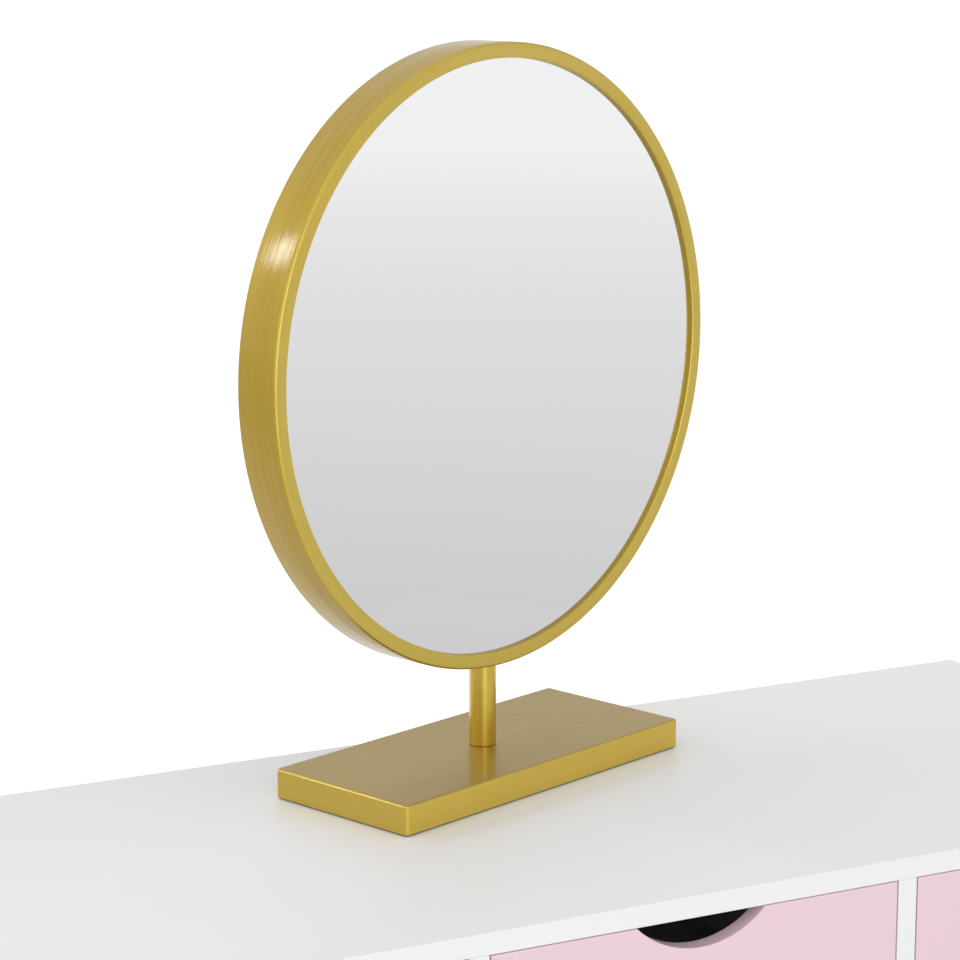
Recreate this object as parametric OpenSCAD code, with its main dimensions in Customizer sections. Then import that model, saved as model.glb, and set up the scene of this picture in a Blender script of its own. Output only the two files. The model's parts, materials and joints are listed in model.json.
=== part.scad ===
// Dressing table: a white three-drawer table on four turned legs, with a round gold mirror standing on it.
// Millimetres. The origin is on the floor, in the middle of the table's footprint.
// The drawers face -Y, +X is to the right of a person who faces them, and +Z is up.

/* [Table] */
// Overall width of the table
table_w = 1000; // [900:10:1200]
// Overall depth of the table
table_d = 415; // [400:5:480]
// Height of the table's surface above the floor
table_h = 750; // [700:5:780]
// Height of the white box that holds the drawers
carcass_h = 150; // [140:5:180]
// Thickness of the carcass boards
board = 15; // [15:1:18]
// Radius on the edges of the carcass boards and drawer fronts
board_ease = 0.8; // [0.5:0.1:1.2]
// Thickness of the table's back and of the drawer bottoms
sheet = 3; // [2.5:0.5:4]

/* [Drawers] */
// Thickness of the drawer fronts
front_board = 12; // [12:1:15]
// Gap beside and below each inset drawer front
front_gap = 1; // [0.8:0.1:2]
// Gap above each inset drawer front
front_top_gap = 0.5; // [0.4:0.1:2]
// Width of the half-moon finger cut-out at its mouth
pull_w = 98; // [80:2:120]
// Depth of the half-moon finger cut-out
pull_depth = 20.5; // [15:0.5:24]
// Thickness of the drawer sides and back
drawer_board = 12; // [12:1:15]
// Height of the drawer sides
drawer_side_h = 88; // [80:1:90]
// Length of the drawer sides behind the front
drawer_side_l = 365; // [330:5:370]

/* [Legs] */
// Diameter of a leg where it meets its mounting plate
leg_top_d = 42; // [36:1:46]
// Diameter of a leg at the foot
leg_foot_d = 26; // [22:1:32]
// Distance of a leg's top from the table's side
leg_inset_x = 95; // [80:5:120]
// Distance of a leg's top from the table's front or back
leg_inset_y = 85; // [75:5:100]
// How far a foot stands outside its leg's top, along the width
leg_splay_x = 55; // [30:5:60]
// How far a foot stands outside its leg's top, along the depth
leg_splay_y = 42; // [20:2:50]

/* [Mirror] */
// Outer diameter of the gold ring
ring_d = 454.7; // [380:0.1:460]
// Depth of the gold ring, front to back
ring_depth = 36.9; // [36:0.1:42]
// Width of the flat rim round the glass
rim_w = 11.3; // [9:0.1:14]
// Depth of the glass behind the rim's front
lip_depth = 3.6; // [3.5:0.1:7]
// Height of the ring's centre above the table
ring_centre_h = 314.8; // [300:0.1:330]
// Width of the base plate
base_w = 299; // [260:1:320]
// Depth of the base plate
base_d = 133; // [120:1:140]
// Height of the base plate with its felt
base_h = 22.4; // [20:0.1:26]
// Diameter of the post
post_d = 20; // [18:1:20]
// Turn of the mirror on the table, seen from above
mirror_turn = 20.3; // [0:0.1:25]
// Place of the mirror along the table's width
mirror_x = -6; // [-50:1:50]
// Place of the mirror along the table's depth
mirror_y = 100; // [60:1:100]

/* [Hidden] */
$fn = 96;
slack = 0.1;        // play round a part that is fixed in a hole or groove
past = 1;           // how far a cutting shape runs past the face that it cuts

white = [0.93, 0.93, 0.93];
pink = [0.93, 0.82, 0.85];
gold = [0.73, 0.62, 0.33];
beech = [0.82, 0.68, 0.5];
zinc = [0.75, 0.75, 0.77];

// Carcass
carcass_z = table_h - carcass_h;             // underside of the bottom panel
opening_z = carcass_z + board;               // lower edge of the drawer openings
opening_h = carcass_h - 2 * board;
opening_w = (table_w - 4 * board) / 3;
pitch = opening_w + board;                   // from one drawer's middle to the next
front_y = -table_d / 2;
back_y = table_d / 2;
groove = 5;                                  // depth of the groove that holds the back
back_inset = 10;                             // distance of the back from the rear edges
back_face_y = back_y - back_inset - sheet;   // front face of the back
upright_d = back_face_y - slack - front_y;   // depth of a divider

// Fittings of the carcass
cam_r = 7.5;
cam_l = 12.4;
cam_edge = 24;                               // cam centre to the end of its board
cam_bolt_r = 3;
cam_bolt_bite = 11;                          // length of a cam bolt inside the outer board
dowel_r = 4;
dowel_l = 30;
dowel_bite = 10;                             // length of a dowel inside the outer board
fitting_y = [front_y + 60, back_y - 75];     // places of the cams along the depth
dowel_step = 32;                             // from a cam to its dowel
upright_x = [-table_w / 2 + board / 2, -pitch / 2, pitch / 2, table_w / 2 - board / 2];

// Drawers
left = -1;
middle = 0;
right = 1;
front_w = opening_w - 2 * front_gap;
front_h = opening_h - front_gap - front_top_gap;
front_top = opening_z + opening_h - front_top_gap;
pull_r = pull_w * pull_w / (8 * pull_depth) + pull_depth / 2;
side_gap = 4;                                // carcass wall to drawer side
box_w = opening_w - 2 * side_gap;
box_z = opening_z + 5;                       // lower edge of the drawer sides
side_y = front_y + front_board;              // front end of the drawer sides
bottom_z = box_z + 9;                        // underside of the drawer bottom
bottom_groove = 4;
runner_w = 12;
runner_l = 340;
runner_z = box_z + 40;                       // lower edge of the runners
runner_y = side_y + 8;
runner_groove = 8;                           // depth of the groove in a drawer side
runner_play = 0.5;
runner_reach = side_gap + runner_groove - 1; // how far a runner stands out of the wall
runner_screw_y = [runner_y + 30, runner_y + runner_l / 2, runner_y + runner_l - 30];
fixing_z = [box_z + 24, box_z + 70];
drawer_cam_r = 6;
drawer_cam_l = 9;
drawer_cam_edge = 18;
drawer_bolt_r = 2.5;
drawer_bolt_bite = 9;
box_screw_r = 2;
box_screw_l = 38;
screw_head_r = 3.8;
screw_head_h = 2.4;

// Legs
plate_w = 70;
plate_t = 2.5;
plate_corner = 8;
plate_screw_step = 27;
boss_r = 19;
boss_h = 8;
boss_z = carcass_z - plate_t - boss_h;       // underside of a mounting plate's boss
glide_h = 5;
glide_r = leg_foot_d / 2 - 0.5;
leg_bolt_r = 4;
leg_bolt_l = 52;
leg_splay = norm([leg_splay_x, leg_splay_y]);
leg_tilt = atan2(leg_splay, boss_z - glide_h);
leg_turn = atan2(leg_splay_y, leg_splay_x);
leg_l = norm([leg_splay, boss_z - glide_h]);
plate_screw_l = 12;
glide_pin_r = 2.5;
glide_pin_l = 14;

// Mirror
ring_r = ring_d / 2;
ring_front_y = -22.2;                        // rim's front face, from the post's axis
ring_bevel = 2.4;                            // radius of the rim's outer edge
rim_round = 1.7;                             // radius of the rim's inner edge
ring_ease = 0.8;                             // radius of the ring's back edge
glass_t = 3;
foam_t = 1;
seat_r = ring_r - 5.85;                      // radius of the seat behind the rim
disc_r = seat_r - 0.5;                       // radius of the glass, foam and cover
glass_y = ring_front_y + lip_depth;
cover_t = 2.5;
cover_y = ring_front_y + ring_depth - cover_t - 0.5;
hold_y = glass_y + glass_t + foam_t + slack; // front of what stands between foam and cover
hold_d = cover_y - slack - hold_y;
felt_t = 0.9;
felt_inset = 4;
base_ease = 2.5;
post_r = post_d / 2;
post_wall = 1.5;
post_top = ring_centre_h - seat_r + 28;
plug_l = 20;
base_screw_r = 3;
base_screw_head_r = 6;
base_screw_head_h = 4;
bracket_w = 84;
bracket_block_w = 34;
bracket_foot_h = 8;
bracket_h = 30;
bracket_screw_x = 30;
bracket_screw_r = 2;
block_size = 18;
block_turns = [30, 90, 150, 210, 330];       // places of the cover blocks round the ring
cover_screw_r = 1.6;
cover_screw_l = 14;

// ---- Shapes that repeat ----

// Flat outline with round corners, centred
module soft_rect(w, h, r) {
    square([w - 2 * r, h], center = true);
    square([w, h - 2 * r], center = true);
    for (x = [-1, 1], y = [-1, 1])
        translate([x * (w / 2 - r), y * (h / 2 - r)]) circle(r = r);
}

// Board with rounded edges, from its lowest corner
module eased_board(size, r) {
    translate(size / 2)
        intersection() {
            linear_extrude(size.z, center = true) soft_rect(size.x, size.y, r);
            rotate([90, 0, 0]) linear_extrude(size.y, center = true) soft_rect(size.x, size.z, r);
            rotate([90, 0, 90]) linear_extrude(size.x, center = true) soft_rect(size.y, size.z, r);
        }
}

// Cylinder along Y from y = 0 towards the back
module rod_y(r, l) {
    rotate([-90, 0, 0]) cylinder(r = r, h = l);
}

// Cylinder along X from x = 0 to the right
module rod_x(r, l) {
    rotate([0, 90, 0]) cylinder(r = r, h = l);
}

// Once at the upper and once, upside down, at the lower end of the uprights
module at_both_ends() {
    translate([0, 0, table_h - board]) children();
    translate([0, 0, opening_z]) mirror([0, 0, 1]) children();
}

// ---- Fittings that join the carcass boards ----

// Cam disc in the side of an upright; play widens it into its own hole
module cam_locks(play = 0) {
    for (i = [0 : 3], y = fitting_y) {
        inward = i < 2 ? 1 : -1;
        at_both_ends()
            translate([upright_x[i] + inward * board / 2, y, -cam_edge])
                mirror([inward > 0 ? 1 : 0, 0, 0])
                    translate([-play, 0, 0]) rod_x(cam_r + play, cam_l + 2 * play);
    }
}

// Bolts that the cams pull on
module cam_bolts(play = 0) {
    for (x = upright_x, y = fitting_y)
        at_both_ends()
            translate([x, y, -cam_edge + cam_r + 0.3 - play])
                cylinder(r = cam_bolt_r + play,
                         h = cam_edge - cam_r - 0.3 + cam_bolt_bite + 2 * play);
}

module panel_dowels(play = 0) {
    for (x = upright_x, y = fitting_y)
        at_both_ends()
            translate([x, y + dowel_step, dowel_bite - dowel_l - play])
                cylinder(r = dowel_r + play, h = dowel_l + 2 * play);
}

module carcass_fitting_holes() {
    cam_locks(slack);
    cam_bolts(slack);
    panel_dowels(slack);
}

// Space taken by the back sheet and its grooves
module back_space(play) {
    translate([-opening_w * 1.5 - board - groove - play, back_face_y - play,
               opening_z - groove - play])
        cube([3 * opening_w + 2 * board + 2 * (groove + play), sheet + 2 * play,
              opening_h + 2 * (groove + play)]);
}

// ---- Carcass ----

module flat_panel(z) {
    color(white)
        difference() {
            translate([-table_w / 2, front_y, z])
                eased_board([table_w, table_d, board], board_ease);
            back_space(slack);
            cam_bolts(slack);
            panel_dowels(slack);
            children();
        }
}

module side_panel(side) {
    color(white)
        difference() {
            translate([side * (table_w - board) / 2 - board / 2, front_y, opening_z])
                eased_board([board, table_d, opening_h], board_ease);
            back_space(slack);
            carcass_fitting_holes();
            all_runner_screws(slack);
        }
}

module divider(side) {
    color(white)
        difference() {
            translate([side * pitch / 2 - board / 2, front_y, opening_z])
                eased_board([board, upright_d, opening_h], board_ease);
            carcass_fitting_holes();
            all_runner_screws(slack);
        }
}

module back_panel() {
    color(white) back_space(0);
}

// ---- Drawers ----

// Segment of a cylinder that makes the finger cut-out, placed for a front centred on x = 0
module pull_cutter() {
    translate([0, front_y - past, front_top - pull_depth + pull_r])
        rod_y(pull_r, front_board + 2 * past);
}

module drawer_front(side) {
    color(pink)
        translate([side * pitch, 0, 0])
            difference() {
                translate([-front_w / 2, front_y, front_top - front_h])
                    eased_board([front_w, front_board, front_h], board_ease);
                pull_cutter();
                drawer_bottom_space(slack);
                drawer_cam_bolts(slack);
            }
}

module drawer_side(side, end) {
    color(white)
        translate([side * pitch, 0, 0])
            difference() {
                translate([end > 0 ? box_w / 2 - drawer_board : -box_w / 2, side_y + slack, box_z])
                    cube([drawer_board, drawer_side_l, drawer_side_h]);
                translate([end * box_w / 2 - runner_groove, side_y - past,
                           runner_z - runner_play])
                    cube([2 * runner_groove, drawer_side_l + 2 * past,
                          runner_w + 2 * runner_play]);
                drawer_bottom_space(slack);
                drawer_cams(slack);
                drawer_cam_bolts(slack);
                box_screws(slack);
            }
}

module drawer_back(side) {
    color(white)
        translate([side * pitch, 0, 0])
            difference() {
                translate([-box_w / 2 + drawer_board + slack,
                           side_y + drawer_side_l - drawer_board, box_z])
                    cube([box_w - 2 * drawer_board - 2 * slack, drawer_board, drawer_side_h]);
                drawer_bottom_space(slack);
                box_screws(slack);
            }
}

// Space taken by a drawer's bottom sheet and its grooves
module drawer_bottom_space(play) {
    translate([-box_w / 2 + drawer_board - bottom_groove - play,
               side_y - bottom_groove - play, bottom_z - play])
        cube([box_w - 2 * drawer_board + 2 * (bottom_groove + play),
              drawer_side_l - drawer_board + 2 * (bottom_groove + play),
              sheet + 2 * play]);
}

module drawer_bottom(side) {
    color(white)
        translate([side * pitch, 0, 0])
            drawer_bottom_space(0);
}

// Cams in the inner faces of the drawer sides, behind the front
module drawer_cams(play = 0) {
    for (end = [-1, 1], z = fixing_z)
        translate([end * (box_w / 2 - drawer_board), side_y + drawer_cam_edge, z])
            mirror([end < 0 ? 1 : 0, 0, 0])
                translate([-play, 0, 0]) rod_x(drawer_cam_r + play, drawer_cam_l + 2 * play);
}

module drawer_cam_bolts(play = 0) {
    bolt_end = side_y + drawer_cam_edge - drawer_cam_r - 0.3;
    for (end = [-1, 1], z = fixing_z)
        translate([end * (box_w - drawer_board) / 2, side_y - drawer_bolt_bite - play, z])
            rod_y(drawer_bolt_r + play, bolt_end - side_y + drawer_bolt_bite + 2 * play);
}

// Screws through the drawer sides into the drawer back
module box_screws(play = 0) {
    for (end = [-1, 1], z = fixing_z)
        translate([end * box_w / 2, side_y + drawer_side_l - drawer_board / 2, z])
            mirror([end > 0 ? 1 : 0, 0, 0])
                translate([-play, 0, 0]) {
                    rod_x(box_screw_r + play, box_screw_l + 2 * play);
                    rod_x(screw_head_r + play, screw_head_h + 2 * play);
                }
}

module drawer_fixings(side) {
    color(zinc)
        translate([side * pitch, 0, 0]) {
            drawer_cams();
            drawer_cam_bolts();
            box_screws();
        }
}

module drawer_runners(side) {
    color([0.85, 0.85, 0.85])
        difference() {
            for (end = [-1, 1])
                translate([side * pitch + end * opening_w / 2 - (end > 0 ? runner_reach : 0),
                           runner_y, runner_z])
                    eased_board([runner_reach, runner_l, runner_w], 1);
            all_runner_screws(slack);
        }
}

// Screws through the runners into the walls of one drawer opening
module all_runner_screws(play = 0) {
    screw_l = runner_reach + 6.5;
    for (side = [-1 : 1], end = [-1, 1], y = runner_screw_y)
        translate([side * pitch + end * (opening_w / 2 - runner_reach + 1.5), y,
                   runner_z + runner_w / 2])
            mirror([end < 0 ? 1 : 0, 0, 0])
                translate([-play, 0, 0]) {
                    rod_x(box_screw_r - 0.5 + play, screw_l - 1.5 + 2 * play);
                    rod_x(screw_head_r + play, screw_head_h + 2 * play);
                    if (play > 0) translate([-3, 0, 0]) rod_x(screw_head_r + play, 4);
                }
}

// ---- Legs ----

// Children at each leg's mounting point, with +X and +Y pointing outward
module at_leg(sx, sy) {
    translate([sx * (table_w / 2 - leg_inset_x), sy * (table_d / 2 - leg_inset_y), 0])
        mirror([sx < 0 ? 1 : 0, 0, 0])
            mirror([0, sy < 0 ? 1 : 0, 0])
                children();
}

module at_all_legs() {
    for (sx = [-1, 1], sy = [-1, 1]) at_leg(sx, sy) children();
}

// Tilts the Z axis to run down along the leg, from the middle of its top
module along_leg() {
    translate([0, 0, boss_z]) rotate([0, 0, leg_turn]) rotate([0, 180 - leg_tilt, 0]) children();
}

module leg(sx, sy) {
    spare = 20;                              // extra length, cut off level at both ends
    taper = (leg_top_d - leg_foot_d) / 2 / leg_l;
    color(beech)
        at_leg(sx, sy)
            difference() {
                intersection() {
                    along_leg()
                        translate([0, 0, -spare])
                            cylinder(r1 = leg_top_d / 2 + taper * spare,
                                     r2 = leg_foot_d / 2 - taper * spare,
                                     h = leg_l + 2 * spare);
                    translate([-100, -100, glide_h]) cube([300, 300, boss_z - glide_h]);
                }
                leg_bolt(slack);
                glide_pin(slack);
            }
}

module leg_plate(sx, sy) {
    color(zinc)
        at_leg(sx, sy)
            difference() {
                union() {
                    translate([0, 0, carcass_z - plate_t])
                        linear_extrude(plate_t) soft_rect(plate_w, plate_w, plate_corner);
                    translate([0, 0, boss_z]) cylinder(r = boss_r, h = boss_h + plate_t / 2);
                }
                leg_bolt(slack);
                plate_screws(slack);
            }
}

module leg_bolt(play = 0) {
    along_leg()
        translate([0, 0, -boss_h - play])
            cylinder(r = leg_bolt_r + play, h = leg_bolt_l + 2 * play);
}

module plate_screws(play = 0) {
    for (x = [-1, 1], y = [-1, 1])
        translate([x * plate_screw_step, y * plate_screw_step, carcass_z - plate_t]) {
            translate([0, 0, -play])
                cylinder(r = box_screw_r + play, h = plate_t + plate_screw_l + 2 * play);
            if (play == 0) translate([0, 0, -screw_head_h]) cylinder(r = screw_head_r, h = screw_head_h);
        }
}

module glide_pin(play = 0) {
    translate([leg_splay_x, leg_splay_y, glide_h - 1])
        cylinder(r = glide_pin_r + play, h = glide_pin_l + play);
}

module leg_glides() {
    color([0.25, 0.25, 0.25])
        at_all_legs() {
            translate([leg_splay_x, leg_splay_y, 0]) cylinder(r = glide_r, h = glide_h);
            glide_pin();
        }
}

// ---- Mirror ----

// The mirror's own frame: middle of its base on the table, front towards -Y before the turn
module on_table() {
    translate([mirror_x, mirror_y, table_h]) rotate([0, 0, mirror_turn]) children();
}

// Disc or ring about the mirror's axis, from depth y towards the back
module about_ring_axis(y) {
    translate([0, y, ring_centre_h]) rotate([-90, 0, 0]) children();
}

module mirror_base() {
    color(gold)
        on_table()
            difference() {
                translate([-base_w / 2, -base_d / 2, felt_t])
                    eased_board([base_w, base_d, base_h - felt_t], base_ease);
                base_screw(slack);
                translate([0, 0, felt_t - past]) cylinder(r = base_screw_head_r + 0.5, h = past + 0.4);
            }
}

module mirror_base_felt() {
    color([0.15, 0.15, 0.15])
        on_table()
            linear_extrude(felt_t)
                soft_rect(base_w - 2 * felt_inset, base_d - 2 * felt_inset, 4);
}

module base_screw(play = 0) {
    translate([0, 0, felt_t + 0.3]) {
        translate([0, 0, -play]) cylinder(r = base_screw_head_r + play, h = base_screw_head_h + play);
        cylinder(r = base_screw_r + play, h = base_h + 14 + play);
    }
}

module mirror_post() {
    color(gold)
        on_table()
            difference() {
                translate([0, 0, base_h]) cylinder(r = post_r, h = post_top - base_h);
                translate([0, 0, base_h - past])
                    cylinder(r = post_r - post_wall, h = post_top - base_h + 2 * past);
            }
}

module mirror_post_plugs() {
    color(zinc)
        on_table()
            difference() {
                for (z = [base_h + 0.2, post_top - plug_l - 0.2])
                    translate([0, 0, z]) cylinder(r = post_r - post_wall - slack, h = plug_l);
                base_screw(slack);
            }
}

module ring_profile() {
    translate([ring_r - rim_w + rim_round, 0]) square([rim_w - rim_round - ring_bevel, lip_depth]);
    translate([ring_r - rim_w, rim_round]) square([rim_w - ring_bevel, lip_depth - rim_round]);
    translate([ring_r - rim_w + rim_round, rim_round]) circle(r = rim_round);
    translate([ring_r - ring_bevel, ring_bevel]) circle(r = ring_bevel);
    translate([seat_r, ring_bevel]) square([ring_r - seat_r, ring_depth - ring_bevel - ring_ease]);
    translate([seat_r, ring_depth - 2 * ring_ease])
        square([ring_r - seat_r - ring_ease, 2 * ring_ease]);
    translate([ring_r - ring_ease, ring_depth - ring_ease]) circle(r = ring_ease);
}

module mirror_ring() {
    color(gold)
        on_table()
            difference() {
                about_ring_axis(ring_front_y) rotate_extrude($fn = 180) ring_profile();
                translate([0, 0, base_h]) cylinder(r = post_r + slack, h = post_top - base_h);
                bracket_screws(slack);
            }
}

module mirror_glass() {
    color([0.85, 0.86, 0.87])
        on_table() about_ring_axis(glass_y) cylinder(r = disc_r, h = glass_t, $fn = 180);
}

module mirror_foam_sheet() {
    color([0.3, 0.3, 0.3])
        on_table() about_ring_axis(glass_y + glass_t) cylinder(r = disc_r, h = foam_t, $fn = 180);
}

// Steel saddle that sits on the inside of the ring and grips the post
module mirror_post_bracket() {
    low_z = ring_centre_h - seat_r;
    color(zinc)
        on_table()
            difference() {
                intersection() {
                    union() {
                        translate([-bracket_w / 2, hold_y, low_z])
                            cube([bracket_w, hold_d, bracket_foot_h]);
                        translate([-bracket_block_w / 2, hold_y, low_z])
                            cube([bracket_block_w, hold_d, bracket_h]);
                    }
                    about_ring_axis(hold_y - past) cylinder(r = seat_r - 3 * slack, h = hold_d + 2 * past);
                }
                translate([0, 0, base_h]) cylinder(r = post_r + slack / 2, h = ring_centre_h);
                bracket_screws(slack);
            }
}

module bracket_screws(play = 0) {
    head_z = ring_centre_h - seat_r + bracket_foot_h;
    for (x = [-1, 1])
        translate([x * bracket_screw_x, 0, head_z]) {
            translate([0, 0, -bracket_foot_h - 1.5 - play])
                cylinder(r = bracket_screw_r + play, h = bracket_foot_h + 1.6 + play);
            if (play == 0) cylinder(r = screw_head_r, h = screw_head_h);
        }
}

module mirror_bracket_screws() {
    color(zinc) on_table() bracket_screws();
}

module at_cover_blocks() {
    for (turn = block_turns)
        translate([0, 0, ring_centre_h]) rotate([0, -turn, 0])
            translate([seat_r, 0, 0]) children();
}

module cover_screws(play = 0) {
    at_cover_blocks()
        translate([-block_size / 2, cover_y + cover_t + play, 0])
            mirror([0, 1, 0]) {
                rod_y(cover_screw_r + play, cover_screw_l + 2 * play);
                rod_y(screw_head_r - 0.6 + play, 1.2 + play);
            }
}

module mirror_cover_blocks() {
    color(beech)
        on_table()
            difference() {
                intersection() {
                    at_cover_blocks()
                        translate([-block_size, hold_y, -block_size / 2])
                            cube([block_size + 2, hold_d, block_size]);
                    about_ring_axis(hold_y - past) cylinder(r = seat_r - slack, h = hold_d + 2 * past);
                }
                cover_screws(slack);
            }
}

module mirror_back_cover() {
    color([0.2, 0.2, 0.2])
        on_table()
            difference() {
                about_ring_axis(cover_y) cylinder(r = disc_r, h = cover_t, $fn = 180);
                cover_screws(slack);
            }
}

module mirror_cover_screws() {
    color(zinc) on_table() cover_screws();
}

// ---- Carcass ----
flat_panel(table_h - board);  // top_panel
flat_panel(carcass_z) at_all_legs() plate_screws(slack);  // bottom_panel
side_panel(left);  // left_side_panel
side_panel(right);  // right_side_panel
divider(left);  // left_divider
divider(right);  // right_divider
back_panel();
color(zinc) cam_locks();  // carcass_cam_locks
color(zinc) cam_bolts();  // carcass_cam_bolts
color(beech) panel_dowels();  // carcass_dowels

// ---- Drawers ----
drawer_front(left);  // left_drawer_front
drawer_side(left, left);  // left_drawer_left_side
drawer_side(left, right);  // left_drawer_right_side
drawer_back(left);  // left_drawer_back
drawer_bottom(left);  // left_drawer_bottom
drawer_fixings(left);  // left_drawer_fixings
drawer_runners(left);  // left_drawer_runners
drawer_front(middle);  // middle_drawer_front
drawer_side(middle, left);  // middle_drawer_left_side
drawer_side(middle, right);  // middle_drawer_right_side
drawer_back(middle);  // middle_drawer_back
drawer_bottom(middle);  // middle_drawer_bottom
drawer_fixings(middle);  // middle_drawer_fixings
drawer_runners(middle);  // middle_drawer_runners
drawer_front(right);  // right_drawer_front
drawer_side(right, left);  // right_drawer_left_side
drawer_side(right, right);  // right_drawer_right_side
drawer_back(right);  // right_drawer_back
drawer_bottom(right);  // right_drawer_bottom
drawer_fixings(right);  // right_drawer_fixings
drawer_runners(right);  // right_drawer_runners
color(zinc) all_runner_screws();  // runner_screws

// ---- Legs ----
leg(left, -1);  // front_left_leg
leg(right, -1);  // front_right_leg
leg(left, 1);  // back_left_leg
leg(right, 1);  // back_right_leg
leg_plate(left, -1);  // front_left_leg_plate
leg_plate(right, -1);  // front_right_leg_plate
leg_plate(left, 1);  // back_left_leg_plate
leg_plate(right, 1);  // back_right_leg_plate
color(zinc) at_all_legs() plate_screws();  // leg_plate_screws
color(zinc) at_all_legs() leg_bolt();  // leg_bolts
leg_glides();

// ---- Mirror ----
mirror_base();
mirror_base_felt();
color(zinc) on_table() base_screw();  // mirror_base_screw
mirror_post();
mirror_post_plugs();
mirror_ring();
mirror_glass();
mirror_foam_sheet();
mirror_post_bracket();
mirror_bracket_screws();
mirror_cover_blocks();
mirror_back_cover();
mirror_cover_screws();
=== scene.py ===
import json
import math

import bmesh
import bpy
from mathutils import Matrix, Vector


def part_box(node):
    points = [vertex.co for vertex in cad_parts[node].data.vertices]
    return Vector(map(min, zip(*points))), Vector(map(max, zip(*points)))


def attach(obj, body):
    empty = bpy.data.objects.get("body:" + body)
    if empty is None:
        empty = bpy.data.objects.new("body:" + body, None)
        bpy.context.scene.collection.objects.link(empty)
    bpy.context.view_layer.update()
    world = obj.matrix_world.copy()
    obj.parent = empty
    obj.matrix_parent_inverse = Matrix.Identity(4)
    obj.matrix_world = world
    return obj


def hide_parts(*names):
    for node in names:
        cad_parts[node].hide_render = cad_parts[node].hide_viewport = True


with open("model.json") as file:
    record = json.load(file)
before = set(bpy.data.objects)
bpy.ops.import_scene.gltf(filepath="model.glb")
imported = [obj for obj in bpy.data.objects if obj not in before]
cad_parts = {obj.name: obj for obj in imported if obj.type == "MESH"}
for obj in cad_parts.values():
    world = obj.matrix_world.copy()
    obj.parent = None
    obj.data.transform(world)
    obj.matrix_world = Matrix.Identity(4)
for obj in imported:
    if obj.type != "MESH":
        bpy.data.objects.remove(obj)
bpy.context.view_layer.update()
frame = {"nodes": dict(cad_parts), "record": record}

MM = 0.001
NODES = frame["nodes"]
SLOT_OF = {part["node"]: part["material_slot"] for part in frame["record"]["subparts"]}

# ---- Where things are, from the frame ----

TABLE_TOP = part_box("top_panel")[1].z
POST_LOW, POST_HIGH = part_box("mirror_post")
RING_LOW, RING_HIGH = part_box("mirror_ring")
MIRROR_TURN = math.radians(20.3)                 # of the mirror on the table, as in part.scad
MIRROR_FOOT = Vector(((POST_LOW.x + POST_HIGH.x) / 2, (POST_LOW.y + POST_HIGH.y) / 2, TABLE_TOP))
RING_CENTRE = Vector((MIRROR_FOOT.x, MIRROR_FOOT.y, (RING_LOW.z + RING_HIGH.z) / 2))
RING_RADIUS = (RING_HIGH.z - RING_LOW.z) / 2
RING_FRAME = Matrix.Translation(RING_CENTRE) @ Matrix.Rotation(MIRROR_TURN, 4, "Z")

# Ring section, as part.scad has it
RING_FRONT = -22.2 * MM                          # rim's front face, from the post's axis
RING_DEPTH = 36.9 * MM
RIM_WIDTH = 11.3 * MM
RIM_BEVEL = 2.4 * MM
RIM_ROUND = 1.7 * MM
RING_EASE = 0.8 * MM
LIP_DEPTH = 3.6 * MM
SEAT_INSET = 5.85 * MM

# Screws in the mirror's back cover, as part.scad has them
COVER_SCREW_TURNS = (30, 90, 150, 210, 330)
COVER_SCREW_REACH = RING_RADIUS - SEAT_INSET - 9 * MM
COVER_SCREW_HEAD = 3.2 * MM                      # radius
COVER_SCREW_RISE = 1.15 * MM                     # height of a head
COVER_SCREW_SPIN = 1.7                           # turn of a recess, from its own place
COVER_BACK = RING_FRONT + RING_DEPTH - 0.5 * MM
COVER_SCREW_SINK = 1.2 * MM                      # how far the heads sit in the cover

# Post and base plate, as part.scad has them
POST_RADIUS = 10 * MM
POST_EASE = 0.6 * MM
BASE_WIDTH = 299 * MM
BASE_DEPTH = 133 * MM
BASE_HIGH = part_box("mirror_base")[1].z - TABLE_TOP
BASE_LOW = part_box("mirror_base")[0].z - TABLE_TOP
BASE_CORNER = 3.4 * MM
BASE_FILLET = 1.5 * MM                           # round the top
BASE_FOOT_FILLET = 0.7 * MM                      # round the bottom

# Rounding of the drawers, beyond what the CAD nodes have
FRONT_ROUND = 0.9 * MM
BOX_ROUND = 0.4 * MM

NEAR_AXIS = 0.001 * MM                           # radius at which a lathed outline is closed
RING_SEGMENTS = 256
POST_SEGMENTS = 96
FILLET_STEPS = 6

# The ranges of a noise that materials stretch over their own; the narrow one gives more contrast
WIDE = (0.3, 0.7)
NARROW = (0.35, 0.65)


# ---- Node materials ----

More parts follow.
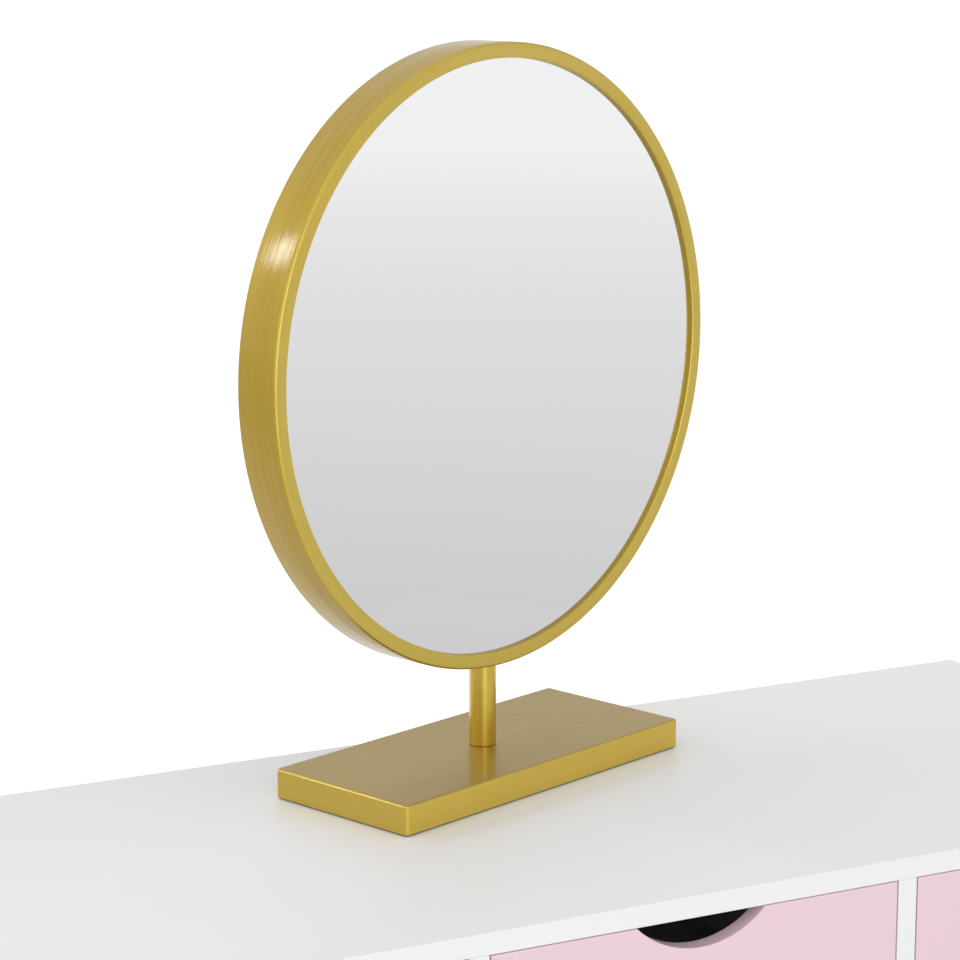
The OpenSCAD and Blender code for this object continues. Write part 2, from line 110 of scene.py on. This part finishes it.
class Look:
    """A procedural material on one Principled shader, built socket by socket."""

    def __init__(self, name, colour, roughness, metallic=0.0):
        self.material = bpy.data.materials.new(name)
        self.material.use_nodes = True
        self.tree = self.material.node_tree
        self.shader = self.tree.nodes["Principled BSDF"]
        self.set("Base Color", (*colour, 1.0))
        self.set("Roughness", roughness)
        self.set("Metallic", metallic)
        self.place = self.add("ShaderNodeTexCoord").outputs["Object"]

    def set(self, socket, value):
        """Gives one of the shader's sockets a constant, or links it to another socket."""
        self.feed(self.shader.inputs[socket], value)

    def feed(self, target, value):
        if isinstance(value, bpy.types.NodeSocket):
            self.tree.links.new(value, target)
        else:
            target.default_value = value

    def add(self, kind, sockets=None, **properties):
        node = self.tree.nodes.new(kind)
        for name, value in properties.items():
            setattr(node, name, value)
        for name, value in (sockets or {}).items():
            self.feed(node.inputs[name], value)
        return node

    def math(self, operation, a, b=0.0, c=0.0):
        return self.add("ShaderNodeMath", {0: a, 1: b, 2: c}, operation=operation).outputs[0]

    def local(self, location=(0, 0, 0), turn=0.0, scale=(1, 1, 1)):
        """Object coordinates in a frame that stands at location, turned about Z, then stretched."""
        moved = self.add("ShaderNodeMapping", {"Vector": self.place, "Location": location,
                                               "Rotation": (0, 0, turn)},
                         vector_type="TEXTURE")
        return self.add("ShaderNodeMapping",
                        {"Vector": moved.outputs[0], "Scale": scale}).outputs[0]

    def noise(self, scale, vector=None, detail=3.0, roughness=0.5, distortion=0.0):
        return self.add("ShaderNodeTexNoise", {"Vector": vector or self.place, "Scale": scale,
                                               "Detail": detail, "Roughness": roughness,
                                               "Distortion": distortion}).outputs["Fac"]

    def spread(self, value, low, high, source=(0.0, 1.0)):
        return self.add("ShaderNodeMapRange", {"Value": value, "From Min": source[0],
                                               "From Max": source[1], "To Min": low,
                                               "To Max": high}).outputs[0]

    def mix(self, factor, a, b):
        node = self.add("ShaderNodeMix", {"Factor": factor}, data_type="RGBA")
        self.feed(node.inputs[6], a if isinstance(a, bpy.types.NodeSocket) else (*a, 1.0))
        self.feed(node.inputs[7], b if isinstance(b, bpy.types.NodeSocket) else (*b, 1.0))
        return node.outputs[2]

    def bump(self, height, distance, strength=1.0, under=None):
        sockets = {"Height": height, "Distance": distance, "Strength": strength}
        if under is not None:
            sockets["Normal"] = under
        return self.add("ShaderNodeBump", sockets).outputs[0]


def gold(name, streaks, axis, deep, bright, roughness, buffing, coat, coat_roughness, coat_grain):
    """Gold lacquer over brushed metal with painted shade: faces along axis take colour bright,
    others deep.

    streaks turns a Look into the coordinates of its brushing; buffing polishes the round edges.
    coat is the least and most weight of the lacquer, which varies with the brushing.
    """
    look = Look(name, deep, 0.4, metallic=0.85)
    normal = look.add("ShaderNodeNewGeometry").outputs["Normal"]
    facing = look.add("ShaderNodeVectorMath", {0: normal, 1: axis}, operation="DOT_PRODUCT")
    facing = look.math("ABSOLUTE", facing.outputs["Value"])
    fine = look.noise(1.0, streaks(look), detail=4.0, roughness=0.65)
    broad = look.noise(9.0, detail=2.0)
    # Painted light and shade: faces along axis take bright, the rest deep, in place of how light
    # falls
    tone = look.mix(look.spread(facing, 0.0, 1.0, (0.2, 0.9)), deep, bright)
    worn = look.mix(look.spread(fine, 0.0, 1.0, WIDE), (0.94, 0.93, 0.9), (1.04, 1.05, 1.08))
    worn = look.mix(look.spread(broad, 0.0, 0.4, NARROW), worn, (1.0, 0.99, 0.97))
    look.set("Base Color", look.add("ShaderNodeMix", {0: 1.0, 6: tone, 7: worn}, data_type="RGBA",
                                    blend_type="MULTIPLY").outputs[2])
    buffed = look.math("MULTIPLY", facing, look.math("SUBTRACT", 1.0, facing))
    matt = look.spread(fine, roughness - 0.05, roughness + 0.05, WIDE)
    look.set("Roughness", look.math("SUBTRACT", matt, look.math("MULTIPLY", buffed, buffing)))
    look.set("Coat Weight", look.spread(fine, *coat, (0.4, 0.6)))
    look.set("Coat Roughness",
             look.spread(fine, coat_roughness - 0.02, coat_roughness + 0.03, WIDE))
    look.set("Coat IOR", 1.6)
    look.set("Normal", look.bump(fine, 0.00003, 0.3))
    look.set("Coat Normal", look.bump(fine, coat_grain, look.spread(facing, 0.6, 0.06)))
    return look.material


def ring_streaks(look):
    """Brushing that runs round the ring: long in angle, fine across the section."""
    along, across = 1.2, 560.0
    spot = look.local(RING_CENTRE, MIRROR_TURN)
    parts = look.add("ShaderNodeSeparateXYZ", {0: spot})
    x, y, z = parts.outputs
    angle = look.math("ARCTAN2", x, z)
    radius = look.math("SQRT", look.math("ADD", look.math("POWER", x, 2.0),
                                         look.math("POWER", z, 2.0)))
    return look.add("ShaderNodeCombineXYZ", {
        0: look.math("MULTIPLY", angle, along),
        1: look.math("MULTIPLY", y, across),
        2: look.math("MULTIPLY", radius, across)}).outputs[0]


def plate_streaks(look):
    """Brushing along the plate."""
    return look.local(MIRROR_FOOT, MIRROR_TURN, (18.0, 700.0, 700.0))


def post_streaks(look):
    """Brushing up the post."""
    return look.local(MIRROR_FOOT, MIRROR_TURN, (900.0, 900.0, 14.0))


def melamine(name, colour, roughness=0.36):
    """White board with the faint pebbled skin of melamine."""
    look = Look(name, colour, roughness)
    pebble = look.noise(900.0, detail=2.0)
    cloud = look.noise(6.0, detail=3.0)
    look.set("Base Color", look.mix(look.spread(cloud, 0.0, 1.0, WIDE), colour,
                                    [c * 0.985 for c in colour]))
    look.set("Roughness", look.spread(pebble, roughness - 0.05, roughness + 0.07, WIDE))
    look.set("Normal", look.bump(pebble, 0.00003, 0.35))
    return look.material


def pink_paint(name):
    """Pale pink satin paint, sprayed on board: a slight orange peel."""
    look = Look(name, (0.785, 0.588, 0.633), 0.32)
    peel = look.noise(420.0, detail=2.0)
    cloud = look.noise(8.0, detail=2.0)
    look.set("Base Color", look.mix(look.spread(cloud, 0.0, 1.0, WIDE),
                                    (0.79, 0.594, 0.638), (0.78, 0.582, 0.629)))
    look.set("Roughness", look.spread(peel, 0.29, 0.35, WIDE))
    look.set("Coat Weight", 0.25)
    look.set("Coat Roughness", 0.2)
    look.set("Normal", look.bump(peel, 0.00002, 0.25))
    return look.material


def wood(name):
    """Oiled beech, with its grain up the leg and short dark flecks."""
    look = Look(name, (0.6, 0.42, 0.25), 0.42)
    grain = look.noise(1.0, look.local(scale=(110.0, 110.0, 3.2)), detail=5.0, distortion=0.6)
    fleck = look.noise(1.0, look.local(scale=(900.0, 900.0, 90.0)), detail=2.0)
    tone = look.mix(look.spread(grain, 0.0, 1.0, WIDE), (0.66, 0.47, 0.29), (0.5, 0.32, 0.17))
    dark = look.spread(fleck, 0.0, 0.8, (0.62, 0.72))
    look.set("Base Color", look.mix(dark, tone, (0.33, 0.19, 0.09)))
    look.set("Roughness", look.spread(grain, 0.36, 0.5, WIDE))
    look.set("Normal", look.bump(grain, 0.0002, 0.3, look.bump(fleck, 0.00008, 0.3)))
    return look.material


def silvered_glass(name):
    """Front-lit mirror: silver behind clear glass, with the least haze on it."""
    look = Look(name, (0.8, 0.8, 0.805), 0.05, metallic=1.0)
    haze = look.noise(14.0, detail=2.0)
    look.set("Roughness", look.spread(haze, 0.035, 0.045, WIDE))
    look.set("Coat Weight", 0.3)
    look.set("Coat Roughness", 0.02)
    return look.material


def plated_steel(name):
    """Zinc-plated steel, patchy and slightly dull."""
    look = Look(name, (0.6, 0.6, 0.58), 0.35, metallic=1.0)
    patch = look.noise(180.0, detail=3.0)
    look.set("Base Color", look.mix(look.spread(patch, 0.0, 1.0, NARROW),
                                    (0.63, 0.63, 0.62), (0.5, 0.51, 0.5)))
    look.set("Roughness", look.spread(patch, 0.28, 0.48, WIDE))
    look.set("Normal", look.bump(look.noise(1500.0, detail=2.0), 0.00003, 0.3))
    return look.material


def moulded(name, colour, roughness):
    """Moulded plastic with a fine spark-eroded texture."""
    look = Look(name, colour, roughness)
    spark = look.noise(1800.0, detail=2.0)
    look.set("Base Color", look.mix(look.spread(spark, 0.0, 1.0, NARROW), colour,
                                    [c * 0.93 for c in colour]))
    look.set("Roughness", look.spread(spark, roughness - 0.06, roughness + 0.08, WIDE))
    look.set("Normal", look.bump(spark, 0.00004, 0.4))
    return look.material


def felt(name):
    """Black felt with a short nap."""
    look = Look(name, (0.03, 0.03, 0.032), 0.95)
    fibre = look.noise(2400.0, detail=4.0, roughness=0.7)
    look.set("Base Color", look.mix(look.spread(fibre, 0.0, 1.0, NARROW),
                                    (0.02, 0.02, 0.022), (0.06, 0.06, 0.065)))
    look.set("Sheen Weight", 0.4)
    look.set("Normal", look.bump(fibre, 0.0003, 0.6))
    return look.material


def hardboard(name, colour, roughness=0.5):
    """Hardboard skin: smooth, with the faint fibre of the pressed sheet."""
    look = Look(name, colour, roughness)
    fibre = look.noise(1.0, look.local(scale=(260.0, 900.0, 260.0)), detail=4.0, distortion=0.8)
    look.set("Base Color", look.mix(look.spread(fibre, 0.0, 1.0, WIDE), colour,
                                    [c * 0.93 for c in colour]))
    look.set("Roughness", look.spread(fibre, roughness - 0.06, roughness + 0.08, WIDE))
    look.set("Normal", look.bump(fibre, 0.00006, 0.4))
    return look.material


FORWARD = (math.sin(MIRROR_TURN), -math.cos(MIRROR_TURN), 0.0)
# Leans from the plate's top toward its ends, so that the ends share the top's darker painted shade
TOP_AND_ENDS = (0.5 * math.cos(MIRROR_TURN), 0.5 * math.sin(MIRROR_TURN), 0.866)
# Painted shade: the ring's side wall is darker and browner than its front rim
RING_GOLD = gold("gold_ring", ring_streaks, FORWARD, deep=(0.46, 0.305, 0.002),
                 bright=(0.61, 0.455, 0.05), roughness=0.64, buffing=1.3,
                 coat=(0.55, 0.95), coat_roughness=0.15, coat_grain=0.00015)
# Painted shade: the plate's top and ends are darker than its front and back faces
PLATE_GOLD = gold("gold_plate", plate_streaks, TOP_AND_ENDS, deep=(0.69, 0.49, 0.065),
                  bright=(0.39, 0.265, 0.032), roughness=0.42, buffing=0.0,
                  coat=(0.27, 0.54), coat_roughness=0.04, coat_grain=0.00001)
# Painted light: the post is a little brighter on its front than on its sides
POST_GOLD = gold("gold_post", post_streaks, FORWARD, deep=(0.65, 0.465, 0.06),
                 bright=(0.68, 0.49, 0.065), roughness=0.38, buffing=0.0,
                 coat=(0.3, 0.6), coat_roughness=0.06, coat_grain=0.00002)
MATERIALS = {
    "white_board": melamine("white_melamine", (0.83, 0.83, 0.835)),
    "white_hardboard": hardboard("white_hardboard", (0.8, 0.8, 0.79)),
    "drawer_board": melamine("drawer_foil", (0.8, 0.8, 0.79), 0.45),
    "pink_lacquer": pink_paint("pink_paint"),
    "beech": wood("oiled_beech"),
    "zinc_steel": plated_steel("zinc_plate"),
    "runner_plastic": moulded("runner_plastic", (0.72, 0.72, 0.7), 0.45),
    "glide_plastic": moulded("glide_plastic", (0.035, 0.035, 0.035), 0.55),
    "felt": felt("black_felt"),
    "mirror_glass": silvered_glass("silvered_glass"),
    "foam": moulded("grey_foam", (0.12, 0.12, 0.12), 0.9),
    "dark_board": hardboard("black_hardboard", (0.03, 0.027, 0.025), 0.45),
}
GOLD_OF = {"mirror_base": PLATE_GOLD, "mirror_post": POST_GOLD, "mirror_ring": RING_GOLD}


# ---- Pieces ----

def paint_nodes():
    """Gives each CAD node the look of its material slot, the golds by name."""
    for name, node in NODES.items():
        node.data.materials.clear()
        node.data.materials.append(GOLD_OF.get(name) or MATERIALS[SLOT_OF[name]])


def ease_edges(names, width, segments=3):
    """Rounds the sharp edges that the CAD nodes keep after their own easing."""
    for name in names:
        bevel = NODES[name].modifiers.new("ease", "BEVEL")
        bevel.width = width
        bevel.segments = segments
        bevel.limit_method = "ANGLE"
        bevel.angle_limit = math.radians(40)
        bevel.harden_normals = True


def arc(cx, cy, radius, start, end, steps):
    """Points on an arc, angles in degrees."""
    turns = [math.radians(start + (end - start) * i / steps) for i in range(steps + 1)]
    return [(cx + radius * math.cos(t), cy + radius * math.sin(t)) for t in turns]


def mesh_piece(name, mesh, frame_matrix, material, body):
    """Turns a bmesh into a smooth-shaded piece that rides on a body."""
    bmesh.ops.recalc_face_normals(mesh, faces=mesh.faces)
    data = bpy.data.meshes.new(name)
    mesh.to_mesh(data)
    mesh.free()
    data.transform(frame_matrix)
    data.materials.append(material)
    for face in data.polygons:
        face.use_smooth = True
    data.set_sharp_from_angle(angle=math.radians(35))
    piece = bpy.data.objects.new(name, data)
    bpy.context.scene.collection.objects.link(piece)
    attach(piece, body)
    return piece


def lathe(name, outline, segments, frame_matrix, material, body):
    """Turns a closed outline of (radius, depth) points about the Y axis of a frame."""
    mesh = bmesh.new()
    rows = []
    for i in range(segments):
        turn = 2 * math.pi * i / segments
        rows.append([mesh.verts.new((r * math.sin(turn), y, r * math.cos(turn)))
                     for r, y in outline])
    for i, row in enumerate(rows):
        following = rows[(i + 1) % segments]
        for j in range(len(outline)):
            k = (j + 1) % len(outline)
            mesh.faces.new((row[j], following[j], following[k], row[k]))
    return mesh_piece(name, mesh, frame_matrix, material, body)


def ring_outline():
    """Section of the ring: rounded outer front edge, flat rim, lip, seat and wall."""
    inner = RING_RADIUS - RIM_WIDTH
    seat = RING_RADIUS - SEAT_INSET
    back = RING_FRONT + RING_DEPTH
    front_in = arc(inner + RIM_ROUND, RING_FRONT + RIM_ROUND, RIM_ROUND, 180, 270, 8)
    front_out = arc(RING_RADIUS - RIM_BEVEL, RING_FRONT + RIM_BEVEL, RIM_BEVEL, -90, 0, 10)
    back_out = arc(RING_RADIUS - RING_EASE, back - RING_EASE, RING_EASE, 0, 90, 5)
    lip_back = RING_FRONT + LIP_DEPTH
    return front_in + front_out + back_out + [(seat, back), (seat, lip_back), (inner, lip_back)]


def make_ring():
    ring = lathe("ring_frame", ring_outline(), RING_SEGMENTS, RING_FRAME, RING_GOLD, "mirror")
    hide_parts("mirror_ring")


def make_post():
    """The tube between base and ring, with the small round-over at its foot."""
    radius = POST_RADIUS
    low, high = POST_LOW.z - TABLE_TOP, POST_HIGH.z - TABLE_TOP
    outline = [(NEAR_AXIS, low)] + arc(radius - POST_EASE, low + POST_EASE, POST_EASE, -90, 0, 5)
    outline += [(radius, high), (NEAR_AXIS, high)]
    upright = Matrix.Translation(MIRROR_FOOT) @ Matrix.Rotation(math.pi / 2, 4, "X")
    post = lathe("post_tube", outline, POST_SEGMENTS, upright, POST_GOLD, "mirror")
    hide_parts("mirror_post")


def screw_head(radius, height):
    """A pan head that stands on the XY plane, with a cross recess in its top."""
    mesh = bmesh.new()
    rings, spokes = 16, 64
    arm_width, arm_reach = 0.15, 0.6   # of the recess, from its middle, in radii
    recess, floor = 0.55, 0.45         # its depth and the height of its floor, in heights
    droop = 0.75                       # share of the squared height that is lost at the rim
    rows = []
    for i in range(1, rings + 1):
        r = i / rings
        row = []
        for j in range(spokes):
            turn = 2 * math.pi * j / spokes
            x, y = r * math.cos(turn), r * math.sin(turn)
            arm = min(abs(x), abs(y)) < arm_width and r < arm_reach
            z = height * math.sqrt(1 - droop * r * r) - (height * recess if arm else 0.0)
            row.append(mesh.verts.new((radius * x, radius * y, z)))
        rows.append(row)
    rows.append([mesh.verts.new((v.co.x, v.co.y, 0.0)) for v in rows[-1]])
    middle = mesh.verts.new((0.0, 0.0, height * floor))
    for j in range(spokes):
        k = (j + 1) % spokes
        mesh.faces.new((middle, rows[0][j], rows[0][k]))
        for inner, outer in zip(rows, rows[1:]):
            mesh.faces.new((inner[j], outer[j], outer[k], inner[k]))
    mesh.faces.new(list(reversed(rows[-1])))
    return mesh


def make_cover_screws():
    """Pan heads of the screws that hold the mirror's back cover."""
    heads = bmesh.new()
    for turn in COVER_SCREW_TURNS:
        angle = math.radians(turn)
        spot = Vector((COVER_SCREW_REACH * math.cos(angle), COVER_BACK - COVER_SCREW_SINK,
                       COVER_SCREW_REACH * math.sin(angle)))
        head = screw_head(COVER_SCREW_HEAD, COVER_SCREW_RISE)
        place = Matrix.Translation(spot) @ Matrix.Rotation(-math.pi / 2, 4, "X")
        place = place @ Matrix.Rotation(angle * COVER_SCREW_SPIN, 4, "Z")
        bmesh.ops.transform(head, matrix=place, verts=head.verts)
        copy = bpy.data.meshes.new("head")
        head.to_mesh(copy)
        head.free()
        heads.from_mesh(copy)
        bpy.data.meshes.remove(copy)
    screws = mesh_piece("cover_screw_heads", heads, RING_FRAME, MATERIALS["zinc_steel"], "mirror")
    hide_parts("mirror_cover_screws")


def corner_outline(half_w, half_d, radius, steps=8):
    """Rounded rectangle round the origin, anticlockwise."""
    points = []
    for i, (sx, sy) in enumerate(((1, 1), (-1, 1), (-1, -1), (1, -1))):
        points += arc(sx * (half_w - radius), sy * (half_d - radius), radius,
                      90 * i, 90 * i + 90, steps)
    return points


def make_base():
    """The base plate, with round corners and filleted edges."""
    mesh = bmesh.new()
    turns = [math.pi / (2 * FILLET_STEPS) * i for i in range(FILLET_STEPS + 1)]
    foot = [(BASE_FOOT_FILLET * (1 - math.sin(turn)),
             BASE_LOW + BASE_FOOT_FILLET * (1 - math.cos(turn))) for turn in turns]
    top = [(BASE_FILLET * (1 - math.sin(turn)),
            BASE_HIGH - BASE_FILLET * (1 - math.cos(turn))) for turn in reversed(turns)]
    rows = []
    for inset, z in foot + top:
        outline = corner_outline(BASE_WIDTH / 2 - inset, BASE_DEPTH / 2 - inset,
                                 BASE_CORNER - inset)
        rows.append([mesh.verts.new((x, y, z)) for x, y in outline])
    count = len(rows[0])
    for lower, upper in zip(rows, rows[1:]):
        for j in range(count):
            k = (j + 1) % count
            mesh.faces.new((lower[j], lower[k], upper[k], upper[j]))
    mesh.faces.new(list(reversed(rows[0])))
    mesh.faces.new(rows[-1])
    place = Matrix.Translation(MIRROR_FOOT) @ Matrix.Rotation(MIRROR_TURN, 4, "Z")
    plate = mesh_piece("base_plate", mesh, place, PLATE_GOLD, "mirror")
    plate.modifiers.new("even", "WEIGHTED_NORMAL").weight = 100
    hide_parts("mirror_base")


# ---- Camera, floor and light ----

CAMERA_FROM_FOOT = Vector((-0.9381, -1.8488, 0.6441))   # from the middle of the mirror's foot
CAMERA_HEADING = math.radians(26.85)                    # to the right of +Y
CAMERA_DIP = math.radians(11.48)                        # below the horizon
CAMERA_LENS = 108.1                                     # mm, on a sensor 36 mm wide
FLOOR_REACH = 120.0
LIGHT_SPREAD = math.radians(160)
SPREAD_POWER = 0.754                                    # share of its power a light so spread needs


def make_camera():
    """The photo's camera, as fitted to its straight edges and ellipses."""
    data = bpy.data.cameras.new("camera")
    data.sensor_width = 36.0
    data.lens = CAMERA_LENS
    data.clip_start, data.clip_end = 0.05, 200.0
    camera = bpy.data.objects.new("camera", data)
    camera.location = MIRROR_FOOT + CAMERA_FROM_FOOT
    camera.rotation_euler = (math.pi / 2 - CAMERA_DIP, 0, -CAMERA_HEADING)
    bpy.context.scene.collection.objects.link(camera)
    bpy.context.scene.camera = camera


def make_floor():
    """A pale floor with a painted glow, stronger away from the table and dimmer to the left, like a
    lit studio cove.

    The ranges are metres from the table's middle.
    """
    look = Look("studio_floor", (0.6, 0.6, 0.6), 0.8)
    parts = look.add("ShaderNodeSeparateXYZ", {0: look.place})
    x, y, z = parts.outputs
    away = look.math("SQRT", look.math("ADD", look.math("POWER", x, 2.0),
                                       look.math("POWER", y, 2.0)))
    # Painted glow: the floor emits more light behind, far off and to the right, and less to the
    # left
    behind = look.spread(y, 0.0, 0.47, (-1.0, 1.8))
    far = look.spread(away, 0.0, 0.3, (3.0, 14.0))
    right = look.spread(x, 0.0, 0.1, (1.0, 5.0))
    aside = look.spread(x, 0.15, 1.0, (-3.5, -0.5))
    glow = look.math("ADD", look.math("ADD", behind, far), look.math("ADD", right, 0.11))
    glow = look.math("MULTIPLY", glow, aside)
    look.set("Emission Color", (1.0, 1.0, 1.0, 1.0))
    look.set("Emission Strength", look.math("MINIMUM", glow, 0.6))
    look.set("Roughness", look.spread(look.noise(3.0), 0.75, 0.85))
    data = bpy.data.meshes.new("floor")
    corners = [(FLOOR_REACH * i, FLOOR_REACH * j, 0)
               for i, j in ((-1, -1), (1, -1), (1, 1), (-1, 1))]
    data.from_pydata(corners, [], [(0, 1, 2, 3)])
    data.materials.append(look.material)
    floor = bpy.data.objects.new("floor", data)
    bpy.context.scene.collection.objects.link(floor)


def soft_light(name, place, target, size, radiance):
    """A rectangular softbox; its power follows from its size and brightness."""
    data = bpy.data.lights.new(name, "AREA")
    data.shape = "RECTANGLE"
    data.size, data.size_y = size
    data.spread = LIGHT_SPREAD
    data.energy = radiance * SPREAD_POWER * math.pi * size[0] * size[1]
    light = bpy.data.objects.new(name, data)
    light.location = place
    aim = Vector(target) - Vector(place)
    light.rotation_euler = aim.to_track_quat("-Z", "Y").to_euler()
    bpy.context.scene.collection.objects.link(light)


def make_light():
    """A studio that is white along the horizon and bright overhead, dimmer to the right."""
    world = bpy.data.worlds.new("studio")
    bpy.context.scene.world = world
    world.use_nodes = True
    tree = world.node_tree
    place = tree.nodes.new("ShaderNodeTexCoord")
    parts = tree.nodes.new("ShaderNodeSeparateXYZ")
    tree.links.new(place.outputs["Generated"], parts.inputs[0])

    def combine(operation, *values):
        node = tree.nodes.new("ShaderNodeMath")
        node.operation = operation
        for socket, value in zip(node.inputs, values):
            if isinstance(value, bpy.types.NodeSocket):
                tree.links.new(value, socket)
            else:
                socket.default_value = value
        return node.outputs[0]

    across = combine("MULTIPLY_ADD", parts.outputs["X"], -0.18, 0.72)
    upward = combine("MULTIPLY_ADD", parts.outputs["Z"], 0.4, 1.0)
    above = combine("SMOOTH_MIN", combine("MULTIPLY", parts.outputs["Z"], 3.0), 1.0, 0.3)
    above = combine("MAXIMUM", above, 0.0)
    ceiling = combine("MULTIPLY", combine("MULTIPLY", across, upward), above)
    strength = combine("ADD", ceiling, combine("SUBTRACT", 1.0, above))
    background = tree.nodes["Background"]
    background.inputs["Color"].default_value = (1, 1, 1, 1)
    tree.links.new(strength, background.inputs["Strength"])
    # Offsets are from the mirror's foot, and every light aims at the ring
    for name, offset, size, radiance in (
            ("side_strip", (-2.7, -0.65, 0.45), (0.3, 2.0), 1.6),
            ("front_strip", (-0.4, -2.9, 0.5), (0.6, 2.4), 4.4),
            ("back_left_softbox", (-2.66, 1.55, 1.88), (0.16, 0.42), 36.0)):
        soft_light(name, MIRROR_FOOT + Vector(offset), RING_CENTRE, size, radiance)


paint_nodes()
for side in ("left", "middle", "right"):
    ease_edges([side + "_drawer_front"], FRONT_ROUND)
    ease_edges([side + "_drawer_left_side", side + "_drawer_right_side", side + "_drawer_back"],
               BOX_ROUND)
make_ring()
make_post()
make_base()
make_cover_screws()
make_camera()
make_floor()
make_light()
bpy.context.scene.view_settings.view_transform = "Standard"
